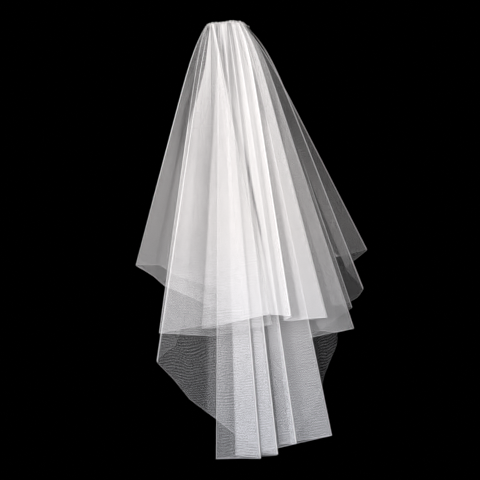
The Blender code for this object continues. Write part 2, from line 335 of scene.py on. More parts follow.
upper_paths = matched_paths(upper_waves, UPPER_LINE)
lower_paths = matched_paths(lower_waves, LOWER_LINE)
print("columns:", len(upper_paths.hem), "and", len(lower_paths.hem))
print("hem lengths in mm:", round(upper_paths.travel[-1]), "and", round(lower_paths.travel[-1]))

# %% [markdown]
# Creases
#
# Between the big folds the net isn't flat: it has shallow troughs and ridges that start in
# the gathers and run out on the way down, each with its own length and depth. They are set
# out in two tables. at is the place along the hem, counted in folds and soft waves
# from the left cut edge, so 8.5 lies half way between the ninth and the tenth of them.

# %% Crease tables
Crease = namedtuple("Crease", "at start end depth width")
UPPER_CREASES = tuple(Crease(*row) for row in (
    (0.35, 0, 0.95, 2, 22), (0.72, 0.1, 1, -1.8, 18), (1.5, 0, 0.8, 1.6, 15),
    (3.4, 0.15, 1, 1.5, 16), (3.74, 0.05, 0.85, -1.2, 13), (4.5, 0.3, 1, 1.2, 13),
    (5.45, 0, 0.75, -1.3, 12), (6.5, 0.2, 1, 1.2, 13), (7.55, 0.05, 0.7, -1.1, 12),
    (8.36, 0.1, 1, 1.5, 18), (8.74, 0, 0.8, -1.2, 14), (9.16, 0.05, 1, 1.5, 18),
    (9.38, 0.2, 0.9, -1.7, 20), (9.62, 0, 1, 1.9, 22), (9.84, 0.25, 1, -1.3, 15),
    (10.5, 0.1, 0.85, 1.3, 14), (11.45, 0, 1, -1.2, 13), (12.5, 0.2, 1, 1.4, 15),
    (13.55, 0.05, 0.9, -1.2, 14), (14.28, 0.1, 1, 1.4, 16), (14.56, 0, 0.75, -1.5, 17),
    (14.84, 0.3, 1, 1, 12), (15.5, 0.05, 0.9, 1.3, 15), (16.45, 0.2, 1, -1.2, 14),
    (17.5, 0, 0.8, 1, 12), (19.33, 0.1, 1, 1.2, 14), (19.7, 0, 0.85, -1.1, 13),
    (20.5, 0.15, 1, 1.2, 14), (25.36, 0.05, 0.9, 1.4, 17), (25.72, 0.2, 1, -1.2, 15),
    (26.3, 0, 0.8, 1.3, 16), (26.66, 0.15, 1, -1.5, 18), (27.5, 0.1, 0.95, 0.9, 10),
    (33.4, 0.05, 0.8, 1.2, 14), (33.76, 0.25, 1, -1.2, 14),
))
LOWER_CREASES = tuple(Crease(*row) for row in (
    (5.5, 0.1, 1, 1, 12), (6.5, 0.25, 1, -1.1, 13), (7.5, 0.05, 0.9, 1.3, 17),
    (8.28, 0.1, 1, 1.5, 18), (8.58, 0, 0.85, -1.5, 19), (8.86, 0.2, 1, 1.1, 13),
    (9.5, 0.05, 0.8, 1, 12), (10.5, 0.15, 1, -1, 12), (11.5, 0.05, 0.95, 1.2, 14),
    (12.38, 0, 1, 1.3, 16), (12.74, 0.2, 0.9, -1.1, 14), (13.5, 0.1, 1, 0.9, 11),
    (14.5, 0.05, 0.85, -1.2, 15), (15.5, 0.15, 1, 0.9, 10), (16.36, 0.05, 1, 1.4, 18),
    (16.7, 0.2, 0.85, -1.2, 16), (17.35, 0, 0.9, 1.2, 16), (17.7, 0.15, 1, -1.2, 15),
    (18.5, 0.1, 1, 1.1, 13), (21.45, 0.05, 0.9, 0.8, 9),
))
print("creases:", len(UPPER_CREASES), "and", len(LOWER_CREASES))

# %% Hanging the net between the two belts
ROW_COUNT, ROW_CROWDING = 73, 1.45
ROWS = np.linspace(0.0, 1.0, ROW_COUNT) ** ROW_CROWDING


def hanging_points(folds, paths):
    """The net's points, a column for each step along the hem and a row for each share."""
    drops = np.interp(paths.travel, paths.middles, [fold.drop for fold in folds])[:, None]
    bows = np.interp(paths.travel, paths.middles, [fold.bow for fold in folds])[:, None]
    share = ROWS[None, :]
    swing = share + bows * (1 - np.exp(-share / BOW_LENGTH)) * (1 - share)
    right = paths.comb[:, :1] + (paths.hem[:, :1] - paths.comb[:, :1]) * swing
    away = paths.comb[:, 1:] + (paths.hem[:, 1:] - paths.comb[:, 1:]) * swing
    edge = paths.comb[:, 0], paths.comb[:, 1]
    top = (NET_TOP - arch_drop(*edge) - gather_sag(*edge))[:, None]
    return np.stack([right, away, top + (-drops - top) * share], axis=2)


def face_normals(points):
    """Which way the net faces at each of its points, square to both grid directions."""
    along = np.gradient(points, axis=0)
    down = np.gradient(points, axis=1)
    normal = np.cross(along, down)
    return normal / np.maximum(np.linalg.norm(normal, axis=2, keepdims=True), 1e-9)


print("rows from the comb to the hem:", len(ROWS))

# %% Creases and fine gathers
FINE_PITCH = 2.7
TIGHT_DEPTH, TIGHT_FADE = 0.42, 0.05
LONGER_DEPTH, LONGER_FADE, LONGER_START = 0.55, 0.34, 0.03
CREASE_FADE_IN, CREASE_FADE_OUT, CREASE_OVERRUN = 0.15, 0.2, 0.05


def crease_depth(creases, paths):
    """How far the creases push each point of the net, in millimetres."""
    depth = np.zeros((len(paths.travel), len(ROWS)))
    for crease in creases:
        centre = np.interp(crease.at, range(len(paths.middles)), paths.middles)
        across = np.exp(-((paths.travel[:, None] - centre) / crease.width) ** 2)
        fade_in = np.clip((ROWS - crease.start) / CREASE_FADE_IN, 0, 1)
        fade_out = np.clip((crease.end + CREASE_OVERRUN - ROWS) / CREASE_FADE_OUT, 0, 1)
        depth += crease.depth * across * (fade_in * fade_out)[None, :]
    return depth


def fine_gathers(paths):
    """Small gathers between the folds, tight at the comb and lost further down."""
    phase = paths.comb_travel[:, None] * 2 * math.pi / FINE_PITCH
    drift = 0.9 * np.sin(paths.comb_travel * 0.61)[:, None]
    strength = 0.75 + 0.35 * np.sin(paths.comb_travel * 0.37 + 1.0)[:, None]
    tight = TIGHT_DEPTH * np.exp(-ROWS / TIGHT_FADE)[None, :]
    started = np.minimum(ROWS / LONGER_START, 1)
    longer = LONGER_DEPTH * (np.exp(-ROWS / LONGER_FADE) * started)[None, :]
    wander = np.sin(phase + drift)
    slow = np.sin(phase * 0.5 + 2.0 * drift)
    return strength * (tight * wander + longer * (0.45 * wander + 0.75 * slow))


def draped_net(folds, paths, creases):
    points = hanging_points(folds, paths)
    push = crease_depth(creases, paths) + fine_gathers(paths)
    return points + face_normals(points) * push[:, :, None]


upper_points = draped_net(upper_waves, upper_paths, UPPER_CREASES)
lower_points = draped_net(lower_waves, lower_paths, LOWER_CREASES)
print("lowest points:", round(upper_points[:, :, 2].min()), "and", round(lower_points[:, :, 2].min()))

# %% [markdown]
# Layers of net
#
# Where the net shines bright, several layers lie over each other, and gathers finer than
# this mesh crowd them closer still. So each point of a tier carries how many layers it
# stands for, and the tables give that along the comb. gathers are crowded layers that fade
# out on the way down, doubled are layers that stay, thin are layers to leave out near the
# comb, and low are layers that come in near the hem. Where doubled is below nought it takes
# layers away; on the right flaps that thinner, darker net is painted shade, for the shadow
# of the crowded middle. Crowded net fans out less than the tier does, so its places move
# towards the middle on the way down. Folds and cut edges get their distances too, and a few
# narrow gaps between gathers get a painted shade that darkens the net's colour there.

# %% Tables of layers, along the comb
GatherRow = namedtuple("GatherRow", "comb gathers doubled thin low", defaults=(0.0, 0.0))
Crevice = namedtuple("Crevice", "start end comb_from comb_to width shade")
UPPER_GATHERS = tuple(GatherRow(*row) for row in (
    (-52, 0, 0, 1.2), (-51, 0, 0, 0.9), (-50, 0, 0.65, 0.5), (-43, 0, 0.65, 0.5),
    (-41.5, 0, -0.1, 2.2), (-39.3, 0, 0.2, 2.6), (-37.2, 0, 0.6, 2.6, -0.2),
    (-36.9, 0, -0.8, 2.6, 1.1), (-33.6, 0, -0.8, 2.6, 1.2), (-33.2, 6.5, -0.8, 0, 0.6),
    (-30, 6, -0.7), (-26, 2.8, -0.3), (-22, 0.8, -0.3), (-18, 1.2, -0.2), (-12, 2.6, 0),
    (-4, 3, 2.1), (4, 2.6, 3.6), (12, 1.5, 2.6), (18, 2, 1.2), (24, 2.2, 0.4),
    # Painted shade: the doubled values below nought on the right flap take layers away, for the
    # shadow of the crowded middle.
    (28.4, 2.9, 0, 0), (29, 0, -0.2, 4), (36, 0, -0.4, 4), (42, 0, -0.2, 3.5),
    (44, 0, -0.1, 0.9), (52, 0, -0.1, 0.9),
))
LOWER_GATHERS = tuple(GatherRow(*row) for row in (
    (-29, 0, -0.5, 2.5), (-26, 0.1, -0.5, 2.5), (-24, 0.3, -0.5), (-23.3, 0.3, -0.4),
    (-23, 0.3, 0.3), (-22, 0.4, 0.3), (-21, 0.5, -0.3), (-18, 0.6, -0.1),
    (-14, 1.6, 0.1, 0, -0.2), (-7, 2.1, 0.7, 0, -0.3), (4, 2.1, 0.7, 0, -0.3),
    (9, 2, 0.6, 0, -0.3), (13, 1.8, -0.1, 0, -0.1), (16, 1.6, 0.4), (20, 1.4, 0.6),
    # Painted shade: the doubled values below nought on the right side take layers away, for the
    # shadow of the crowded middle.
    (24, 0.6, 0), (27, 0, -1.4), (30, 0, -1.4),
))
# Painted shade: each row darkens the net's colour along one narrow gap between gathers.
UPPER_CREVICES = tuple(Crevice(*row) for row in (
    (0.03, 0.25, -12, -5.6, 0.9, 0.85), (0.06, 0.3, -4, 0.2, 0.5, 0.3),
    (0.05, 0.16, 8.9, 12.4, 0.6, 0.3), (0.15, 0.37, 18.6, 19.4, 0.45, 0.65),
    (0.4, 0.84, 1.2, 6, 0.55, 0.75),
))
LOWER_CREVICES = ()
print("rows of layers:", len(UPPER_GATHERS), "and", len(LOWER_GATHERS))

# %% Distances to the folds and to the cut edges
FAR_OFF = 12.0
LINE_WIDTH = 1.5
WIDEST_TURN = 1.7
CLEAR_RADIUS, HIDDEN_RADIUS = 5.0, 10.0
LINE_RUN = 0.12
LINE_STARTS = {"thin right fold": 0.45}


def blended(hem_value, comb_value):
    """A length along the net, blended row by row from its value at the comb to the hem."""
    return hem_value[:, None] * ROWS + comb_value[:, None] * (1 - ROWS)


def fold_lines(folds, paths):
    """Line widths to the nearest fold for each point, and how clearly that fold shows."""
    away = np.full((len(paths.travel), len(ROWS)), FAR_OFF)
    shown = np.zeros_like(away)
    for fold, middle, comb_middle in zip(folds, paths.middles, paths.comb_middles):
        if fold.turn != OUT or fold.name == SOFT_WAVE:
            continue
        radius = fold.radius * ROWS + GATHER_RADIUS * (1 - ROWS)
        width = radius * np.arccos(1 - np.minimum(LINE_WIDTH / radius, WIDEST_TURN))
        here = blended(abs(paths.travel - middle), abs(paths.comb_travel - comb_middle)) / width
        nearer = here < away
        away = np.where(nearer, here, away)
        clear = np.minimum(1.0, (CLEAR_RADIUS / radius) ** 2) * (fold.radius < HIDDEN_RADIUS)
        start = LINE_STARTS.get(fold.name, 0.0)
        shown = np.where(nearer, clear * np.clip((ROWS - start) / LINE_RUN, 0, 1) ** 0.5, shown)
    return away, shown


def cut_edge_distance(points, paths):
    """Millimetres to the hem or to a cut side, whichever is nearer."""
    down = np.linalg.norm(np.diff(points, axis=1), axis=2)
    to_hem = np.zeros(points.shape[:2])
    to_hem[:, :-1] = np.cumsum(down[:, ::-1], axis=1)[:, ::-1]
    left = blended(paths.travel, paths.comb_travel)
    right = blended(paths.travel[-1] - paths.travel, paths.comb_travel[-1] - paths.comb_travel)
    return np.minimum(np.minimum(to_hem, left), np.minimum(right, FAR_OFF))


near_edge = cut_edge_distance(upper_points, upper_paths) < LINE_WIDTH
print("points of the upper tier close to a cut edge:", int(near_edge.sum()))

# %% How many layers each point stands for
UPPER_FADE, LOWER_FADE = 0.42, 0.34
FAN_LEFT, FAN_RIGHT = 0.30, 0.15
FRONT_FOLD, FRONT_FAN = -37.1, 0.33
THIN_LEFT, THIN_RIGHT, THIN_RUN = 0.58, 0.72, 0.38
CROWN_LAYERS, CROWN_FADE = 1.6, 0.07
UNEVEN_SHARE, UNEVEN_FADE = 0.28, 0.7
DOUBLED_RUN = 0.3
LOW_START, LOW_RUN = 0.76, 0.12
CREVICE_START, CREVICE_END = 0.25, 0.3


def comb_places(folds, paths):
    """The place along the comb that each column of the net hangs from."""
    return np.interp(paths.travel, paths.middles, [fold.comb for fold in folds])[:, None]


def gather_layers(folds, paths, gathers, fade):
    """How many layers of net a point stands for, because of gathers finer than the mesh."""
    spot = comb_places(folds, paths)
    fan_rows = np.where(spot < FRONT_FOLD, np.minimum(ROWS, FRONT_FAN), ROWS)
    fanned = spot * (1 - np.where(spot < 0, FAN_LEFT, FAN_RIGHT) * fan_rows)
    stops, crowded, doubled_and_shaded, thin, low = zip(*gathers)
    thin = np.interp(fanned, stops, thin)
    covered = np.clip(1 - thin, 0, 1)
    thinned = thin * np.clip((np.where(spot < 0, THIN_LEFT, THIN_RIGHT) - ROWS) / THIN_RUN, 0, 1)
    streaks = 0.5 * np.sin(paths.comb_travel * 2.1) + 0.5 * np.sin(paths.comb_travel * 0.83 + 1.3)
    uneven = 1 + UNEVEN_SHARE * streaks[:, None] * np.exp(-ROWS / UNEVEN_FADE)
    crown = CROWN_LAYERS * np.exp(-ROWS / CROWN_FADE)
    low = np.interp(spot, stops, low) * np.clip((ROWS - LOW_START) / LOW_RUN, 0, 1)
    crowded = np.interp(fanned, stops, crowded) * np.exp(-ROWS / fade) * uneven
    # Below nought this takes layers away; on the right flaps that is painted shade.
    doubled_and_shaded = np.interp(spot, stops, doubled_and_shaded) * np.minimum(ROWS / DOUBLED_RUN, 1)
    return 1.0 + (crowded + crown) * covered + doubled_and_shaded + low - thinned


def crevice_shade(folds, paths, crevices):
    """How much painted shade darkens each point in the narrow gaps between gathers."""
    spot = comb_places(folds, paths)
    shade = np.zeros((len(paths.travel), len(ROWS)))
    for gap in crevices:
        along = (ROWS - gap.start) / (gap.end - gap.start)
        place = gap.comb_from + (gap.comb_to - gap.comb_from) * along
        ends = np.clip(along / CREVICE_START, 0, 1) * np.clip((1 - along) / CREVICE_END, 0, 1)
        shade += gap.shade * ends * np.exp(-((spot - place) / gap.width) ** 2)
    return shade


def net_attributes(folds, paths, points, gathers, fade, crevices):
    """What the net's material has to know of each point of a tier."""
    away, shown = fold_lines(folds, paths)
    return {
        "gather": gather_layers(folds, paths, gathers, fade),
        "fold_away": away,
        "fold_shown": shown,
        "edge_away": cut_edge_distance(points, paths),
        "painted_crevice_shade": crevice_shade(folds, paths, crevices),
    }


upper_attributes = net_attributes(
    upper_waves, upper_paths, upper_points, UPPER_GATHERS, UPPER_FADE, UPPER_CREVICES)
lower_attributes = net_attributes(
    lower_waves, lower_paths, lower_points, LOWER_GATHERS, LOWER_FADE, LOWER_CREVICES)
for attributes in (upper_attributes, lower_attributes):
    print("most layers in a tier:", round(float(attributes["gather"].max()), 1))

# %% [markdown]
# The net
#
# Bridal tulle is a net of six-sided holes a bit over a millimetre wide, in fine nylon
# thread. From a few steps away the holes can't be seen: a single layer is a thin grey haze,
# and it turns white where layers pile up. So the material draws the threads as a mask for
# its Alpha, on the cloth's own UV map, and each point's layers, folds and edges thicken it.
# Its colour also carries painted light: a painted highlight along the fold lines and a
# painted shade in a few narrow gaps between gathers.

# %% Helpers that add nodes
def set_inputs(tree, node, inputs):
    """Give a node's inputs plain values or links from other nodes' outputs."""
    for name, value in inputs.items():
        if isinstance(value, bpy.types.NodeSocket):
            tree.links.new(value, node.inputs[name])
        else:
            node.inputs[name].default_value = value


def add_node(tree, kind, inputs, **settings):
    node = tree.nodes.new("ShaderNode" + kind)
    for name, value in settings.items():
        setattr(node, name, value)
    set_inputs(tree, node, inputs)
    return node.outputs


def math_node(tree, operation, *values):
    return add_node(tree, "Math", dict(enumerate(values)), operation=operation)["Value"]


def vector_node(tree, operation, *values):
    return add_node(tree, "VectorMath", dict(enumerate(values)), operation=operation)["Vector"]


def object_place(tree):
    return add_node(tree, "TexCoord", {})["Object"]


def bumped(tree, height, strength, distance):
    inputs = {"Height": height, "Strength": strength, "Distance": distance}
    return add_node(tree, "Bump", inputs)["Normal"]


def new_group(name, inputs, output):
    """An empty node group with named sockets, its incoming sockets and its end node."""
    tree = bpy.data.node_groups.new(name, "ShaderNodeTree")
    for label, kind in inputs.items():
        tree.interface.new_socket(label, in_out="INPUT", socket_type="NodeSocket" + kind)
    tree.interface.new_socket(output, in_out="OUTPUT", socket_type="NodeSocketFloat")
    return tree, tree.nodes.new("NodeGroupInput").outputs, tree.nodes.new("NodeGroupOutput")


def new_finish(name, inputs):
    """A material, its node tree and its shader with some plain values set."""
    finish = bpy.data.materials.new(name)
    finish.use_nodes = True
    shader = finish.node_tree.nodes["Principled BSDF"]
    set_inputs(finish.node_tree, shader, inputs)
    return finish, finish.node_tree, shader


print("node helpers ready")

# %% A node group that draws six-sided net
def six_sided_net():
    """Threads along the sides of six-sided holes: 1 on a thread and 0 in a hole."""
    sockets = {"Cloth": "Vector", "Hole": "Float", "Thread": "Float"}
    tree, given, result = new_group("six_sided_net", sockets, "Threads")
    per_hole = math_node(tree, "DIVIDE", 1.0, given["Hole"])
    scaled = add_node(tree, "VectorMath", {0: given["Cloth"], "Scale": per_hole}, operation="SCALE")
    half = (0.5, math.sqrt(3.0) / 2, 0.5)
    low = tuple(-side for side in half)
    lattices = []
    for shift in ((0.0, 0.0, 0.0), (half[0], half[1], 0.0)):
        moved = vector_node(tree, "ADD", scaled["Vector"], shift)
        wrapped = vector_node(tree, "WRAP", moved, half, low)
        flat = vector_node(tree, "MULTIPLY", wrapped, (1.0, 1.0, 0.0))
        sides = add_node(tree, "SeparateXYZ", {0: vector_node(tree, "ABSOLUTE", flat)})
        slant = math_node(tree, "ADD", math_node(tree, "MULTIPLY", sides["X"], 0.5),
                          math_node(tree, "MULTIPLY", sides["Y"], math.sqrt(0.75)))
        lattices.append(math_node(tree, "MAXIMUM", sides["X"], slant))
    edge = math_node(tree, "SUBTRACT", 0.5, math_node(tree, "MINIMUM", *lattices))
    width = math_node(tree, "MULTIPLY", given["Thread"], 0.5)
    threads = add_node(tree, "MapRange", {
        "Value": edge,
        "From Min": math_node(tree, "MULTIPLY", width, 1.25),
        "From Max": math_node(tree, "MULTIPLY", width, 0.75),
    }, interpolation_type="SMOOTHSTEP")
    set_inputs(tree, result, {"Threads": threads["Result"]})
    return tree


NET_GROUP = six_sided_net()
print("net group with", len(NET_GROUP.nodes), "nodes")

# %% A node group for the shimmer of the net
SHIMMER_SLANTS = ((0.10, 1.0), (0.80, 0.62))
SHIMMER_WANDER = 0.024
SECOND_BANDS = 0.18


def wavy_shimmer():
    """Fine wavy bands, as a camera sees net whose holes are as small as its own pixels."""
    sockets = {"Cloth": "Vector", "Band": "Float"}
    tree, given, result = new_group("wavy_shimmer", sockets, "Shimmer")
    slow = add_node(tree, "TexNoise", {"Vector": given["Cloth"], "Scale": 14.0, "Detail": 1.5})
    wander = math_node(tree, "MULTIPLY", slow["Fac"], SHIMMER_WANDER)
    families = []
    for slant in SHIMMER_SLANTS:
        cloth = {0: given["Cloth"], 1: (*slant, 0.0)}
        along = add_node(tree, "VectorMath", cloth, operation="DOT_PRODUCT")["Value"]
        beats = math_node(tree, "DIVIDE", math_node(tree, "ADD", along, wander), given["Band"])
        families.append(math_node(tree, "SINE", math_node(tree, "MULTIPLY", beats, 2 * math.pi)))
    both = math_node(tree, "MULTIPLY_ADD", families[1], SECOND_BANDS, families[0])
    set_inputs(tree, result, {"Shimmer": both})
    return tree


SHIMMER_GROUP = wavy_shimmer()
print("shimmer group with", len(SHIMMER_GROUP.nodes), "nodes")

# %% The tulle
HOLE_WIDTH = 0.0016
THREAD_SHARE = 0.10
THREAD_COVER = 0.46
HOLE_COVER = 0.02
SHIMMER_BAND = 0.0046
LAYER_COVER = 0.12
FOLD_LAYERS, FOLD_WIDTH = 12.0, 0.85
EDGE_LAYERS, EDGE_WIDTH = 3.2, 1.2
COOL_WHITE, WARM_WHITE = (0.78, 0.785, 0.83, 1.0), (0.83, 0.805, 0.80, 1.0)
# Painted highlight: the net's colour turns whiter along the fold lines.
PAINTED_FOLD_HIGHLIGHT = (0.98, 0.98, 0.98, 1.0)
# Painted shade, mixed into the net's colour in the narrow gaps between gathers.
PAINTED_SHADE_GREY = (0.10, 0.10, 0.11, 1.0)
COOL_BELOW, WARM_ABOVE = -0.70, -0.35
SOFT_SHEEN = {
    "Roughness": 0.62, "Specular IOR Level": 0.35, "Sheen Weight": 0.25, "Sheen Roughness": 0.35,
}


def attribute_value(tree, name):
    return add_node(tree, "Attribute", {}, attribute_name=name)["Fac"]


def line_at(tree, name, width):
    """1 on a line and 0 beyond its width, from the attribute that holds the distance."""
    inputs = {"Value": attribute_value(tree, name), "From Min": width, "From Max": 0.0}
    return add_node(tree, "MapRange", inputs, interpolation_type="SMOOTHSTEP")["Result"]


def colour_mix(tree, share, one, other):
    inputs = {"Factor": share, "A": one, "B": other}
    return add_node(tree, "Mix", inputs, data_type="RGBA")["Result"]


def tulle_cover(tree, threads, shimmer, shimmer_share, fold):
    """How much the net hides: 1 less the gaps that its layers leave open together."""
    single = math_node(tree, "MULTIPLY_ADD", threads, THREAD_COVER - HOLE_COVER, HOLE_COVER)
    single = math_node(
        tree, "MULTIPLY", single, math_node(tree, "MULTIPLY_ADD", shimmer, shimmer_share, 1.0))
    edge = line_at(tree, "edge_away", EDGE_WIDTH)
    extra = math_node(tree, "SUBTRACT", attribute_value(tree, "gather"), 1.0)
    extra = math_node(tree, "MULTIPLY_ADD", fold, FOLD_LAYERS, extra)
    extra = math_node(tree, "MULTIPLY_ADD", edge, EDGE_LAYERS, extra)
    gaps = math_node(tree, "POWER", 1.0 - LAYER_COVER, extra)
    gaps = math_node(tree, "MULTIPLY", math_node(tree, "SUBTRACT", 1.0, single), gaps)
    return add_node(tree, "Math", {0: 1.0, 1: gaps}, operation="SUBTRACT", use_clamp=True)["Value"]


def tulle_finish(name, shimmer_share):
    """White net whose Alpha grows with the layers that the attributes tell of."""
    net, tree, shader = new_finish(name, SOFT_SHEEN)
    cloth = add_node(tree, "UVMap", {}, uv_map="flat_cloth")["UV"]
    holes = {"Cloth": cloth, "Hole": HOLE_WIDTH, "Thread": THREAD_SHARE}
    bands = {"Cloth": cloth, "Band": SHIMMER_BAND}
    threads = add_node(tree, "Group", holes, node_tree=NET_GROUP)["Threads"]
    shimmer = add_node(tree, "Group", bands, node_tree=SHIMMER_GROUP)["Shimmer"]
    # The fold lines add real layers to the net's Alpha and carry a painted highlight in its colour.
    fold = math_node(tree, "MULTIPLY", line_at(tree, "fold_away", FOLD_WIDTH),
                     attribute_value(tree, "fold_shown"))
    height = add_node(tree, "SeparateXYZ", {0: object_place(tree)})["Z"]
    heights = {"Value": height, "From Min": COOL_BELOW, "From Max": WARM_ABOVE}
    colour = colour_mix(tree, add_node(tree, "MapRange", heights)["Result"], COOL_WHITE, WARM_WHITE)
    # Painted highlight: a whiter colour along the fold lines.
    colour = colour_mix(tree, fold, colour, PAINTED_FOLD_HIGHLIGHT)
    # Painted shade: the net's colour darkens in the narrow gaps between gathers.
    colour = colour_mix(tree, attribute_value(tree, "painted_crevice_shade"), colour, PAINTED_SHADE_GREY)
    set_inputs(tree, shader, {
        "Alpha": tulle_cover(tree, threads, shimmer, shimmer_share, fold),
        "Base Color": colour,
        "Normal": bumped(tree, threads, 0.25, 0.00015),
    })
    return net


upper_tulle = tulle_finish("upper_tulle", 0.12)
lower_tulle = tulle_finish("lower_tulle", 0.28)
print("tulle:", HOLE_WIDTH * 1000, "mm holes")

# %% [markdown]
# The two tiers
#
# Each tier is cut from one width of net. Here it is a bmesh grid whose columns run down the
# drape and whose rows run round it, so its UV map can be the flat cloth itself, in metres.
# Both tiers ride on the veil's one body and stand for their solids.

# %% Net as a mesh, and the two tiers
def cloth_grid(points):
    """A bmesh grid laid on the points, and the column and row of each of its corners."""
    columns, rows = points.shape[:2]
    placed = head_turned(points.reshape(-1, 3)).reshape(points.shape)
    grid = bmesh.new()
    bmesh.ops.create_grid(grid, x_segments=columns - 1, y_segments=rows - 1, size=0.5)
    spots = []
    for vertex in grid.verts:
        column = round((vertex.co.x + 0.5) * (columns - 1))
        row = round((0.5 - vertex.co.y) * (rows - 1))
        spots.append((column, row))
        vertex.co = placed[column, row]
    return grid, spots


def cloth_mesh(name, points, across, down, attributes, net):
    """A smooth mesh of net, with a UV map in metres of flat cloth and its attributes."""
    grid, spots = cloth_grid(points)
    flat = grid.loops.layers.uv.new("flat_cloth")
    for face in grid.faces:
        face.smooth = True
        for loop in face.loops:
            spot = spots[loop.vert.index]
            loop[flat].uv = (across[spot], down[spot])
    mesh = bpy.data.meshes.new(name)
    grid.to_mesh(mesh)
    grid.free()
    columns_of, rows_of = np.array(spots).T
    for label, values in attributes.items():
        layer = mesh.attributes.new(label, "FLOAT", "POINT")
        layer.data.foreach_set("value", values[columns_of, rows_of].astype(np.float32))
    mesh.materials.append(net)
    print(name, points.shape[0], "columns,", points.shape[1], "rows,", len(mesh.polygons), "faces")
    return mesh


def tier_mesh(name, points, paths, attributes, net):
    middle, comb_middle = paths.travel[-1] / 2, paths.comb_travel[-1] / 2
    across = blended(paths.travel - middle, paths.comb_travel - comb_middle)
    down = np.zeros(points.shape[:2])
    down[:, 1:] = np.cumsum(np.linalg.norm(np.diff(points, axis=1), axis=2), axis=1)
    return cloth_mesh(name, points, across * MM, down * MM, attributes, net)


def new_object(name, data):
    made = bpy.data.objects.new(name, data)
    bpy.context.scene.collection.objects.link(made)
    return made


def placed_piece(name, mesh, solid=None):
    """Put a piece into the scene, on the veil's one body and in place of its solid."""
    piece = new_object(name, mesh)
    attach(piece, "root")
    if solid:
        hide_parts(solid)
    return piece


upper_net, lower_net = (
    placed_piece(tier + "_net", tier_mesh(tier + "_net", points, paths, attributes, net), tier)
    for tier, points, paths, attributes, net in (
        ("upper_tier", upper_points, upper_paths, upper_attributes, upper_tulle),
        ("lower_tier", lower_points, lower_paths, lower_attributes, lower_tulle),
    )
)

# %% [markdown]
# The gathered heading
#
# At the top the net is folded over and drawn up on a thread, so its edge stands in a row of
# small white puffs along the comb. A grid bent over the comb and rippled makes them, and its
# net counts as HEADING_LAYERS crowded layers. It is part of the upper tier's sheet.

# %% The heading
HEADING_SECTION = (
    (94.0, 0.4), (93.2, 1.8), (92.4, 3.0), (91.0, 3.8), (88.0, 3.9),
    (80.5, 3.9), (73.0, 3.9), (70.4, 4.1), (68.6, 3.6), (67.6, 2.4), (66.9, 0.6),
)
HEADING_LEFT = math.radians(-26.0)
HEADING_RIGHT = math.radians(20.4)
HEADING_COLUMNS = 400
HEADING_ROWS = 31
HEADING_MIDDLE = 82.0
HEADING_INSIDE, HEADING_OUTSIDE = 66.6, 94.4
HEADING_LAYERS = 5.0
HEADING_CLOTH = (0.0009, 0.0011)
PUFF = math.radians(3.83)
PUFF_OUT, FINE_OUT = 0.9, 0.28
PUFF_RISE, FINE_RISE, PUFF_SINK = 2.0, 0.5, 0.9
END_SINK, END_SHARPNESS = 1.5, 24


def heading_points():
    stops = np.linspace(0, len(HEADING_SECTION) - 1, HEADING_ROWS)
    places = range(len(HEADING_SECTION))
    radii, heights = (np.interp(stops, places, side) for side in zip(*HEADING_SECTION))
    points = np.zeros((HEADING_COLUMNS, HEADING_ROWS, 3))
    for column, angle in enumerate(np.linspace(HEADING_LEFT, HEADING_RIGHT, HEADING_COLUMNS)):
        along = 2 * column / (HEADING_COLUMNS - 1) - 1
        closing = math.sqrt(1.02 - abs(along) ** END_SHARPNESS)
        beat = 2 * math.pi * angle / PUFF + 0.5 * math.sin(angle * 31)
        uneven = 0.8 + 0.3 * math.sin(beat * 0.37) + 0.25 * math.sin(beat * 0.71 + 1.0)
        crest = abs(math.cos(beat / 2)) ** 0.7
        fine_crest = 0.5 + 0.5 * math.cos(beat * 3 + math.sin(beat * 0.5))
        for row, (radius, height) in enumerate(zip(radii, heights)):
            outward = (radius - HEADING_INSIDE) / (HEADING_OUTSIDE - HEADING_INSIDE)
            push = uneven * (PUFF_OUT * crest + FINE_OUT * fine_crest) * outward
            spread = HEADING_MIDDLE + (radius + push - HEADING_MIDDLE) * closing
            right, away = ring_point(spread, angle)
            rise = uneven * (PUFF_RISE * crest + FINE_RISE * fine_crest - PUFF_SINK) * outward
            sunk = arch_drop(right, away) + gather_sag(right, away) + END_SINK * (1 - closing)
            points[column, row] = (right, away, height + rise - sunk)
    return points


def heading_mesh():
    size = (HEADING_COLUMNS, HEADING_ROWS)
    across, down = (steps * step for steps, step in zip(np.indices(size), HEADING_CLOTH))
    known = {"gather": HEADING_LAYERS, "fold_away": FAR_OFF, "fold_shown": 0.0,
             "edge_away": FAR_OFF, "painted_crevice_shade": 0.0}
    attributes = {label: np.full(size, value) for label, value in known.items()}
    return cloth_mesh("heading_gathers", heading_points(), across, down, attributes, upper_tulle)


heading = placed_piece("heading_gathers", heading_mesh(), "heading")

# %% [markdown]
# The comb
#
# The comb is moulded in one piece from clear plastic: a curved spine with twelve tapered
# teeth that lean in to the head. It sits under the net and is only a faint shape through it.
# The teeth are drawn down from a flat strip, the strip is bent to the head's curve, given
# its thickness and its edges are rounded.

# %% The comb
COMB_REACH = math.radians(16.4)
COMB_THICKNESS = 2.4
COMB_LEAN = 0.36
SPINE_TOP, SPINE_BOTTOM, TOOTH_TIP = 3.0, -2.5, -37.6
TOOTH_COUNT = 12
TOOTH_STEPS = 6
ROOT_SHARE, TAPER = 0.275, 0.15
TIP_FROM, TIP_ROUND, TIP_LEAST = 0.86, 0.0202, 0.05
COMB_BEVEL = 0.35
WALL_SHARE = 0.9


def tooth_half_width(share, pitch):
    """Half a tooth's width on the way down it, rounded off at the tip."""
    straight = pitch * (ROOT_SHARE - TAPER * share)
    rounded = 1 - max(share - TIP_FROM, 0) ** 2 / TIP_ROUND
    return straight * math.sqrt(max(rounded, TIP_LEAST))


def finished_mesh(name, shape):
    """Turn a bmesh square to the comb and make a smooth mesh of it."""
    for vertex in shape.verts:
        vertex.co = head_turned(np.array([vertex.co]))[0]
    for face in shape.faces:
        face.smooth = True
    mesh = bpy.data.meshes.new(name)
    shape.to_mesh(mesh)
    shape.free()
    return mesh


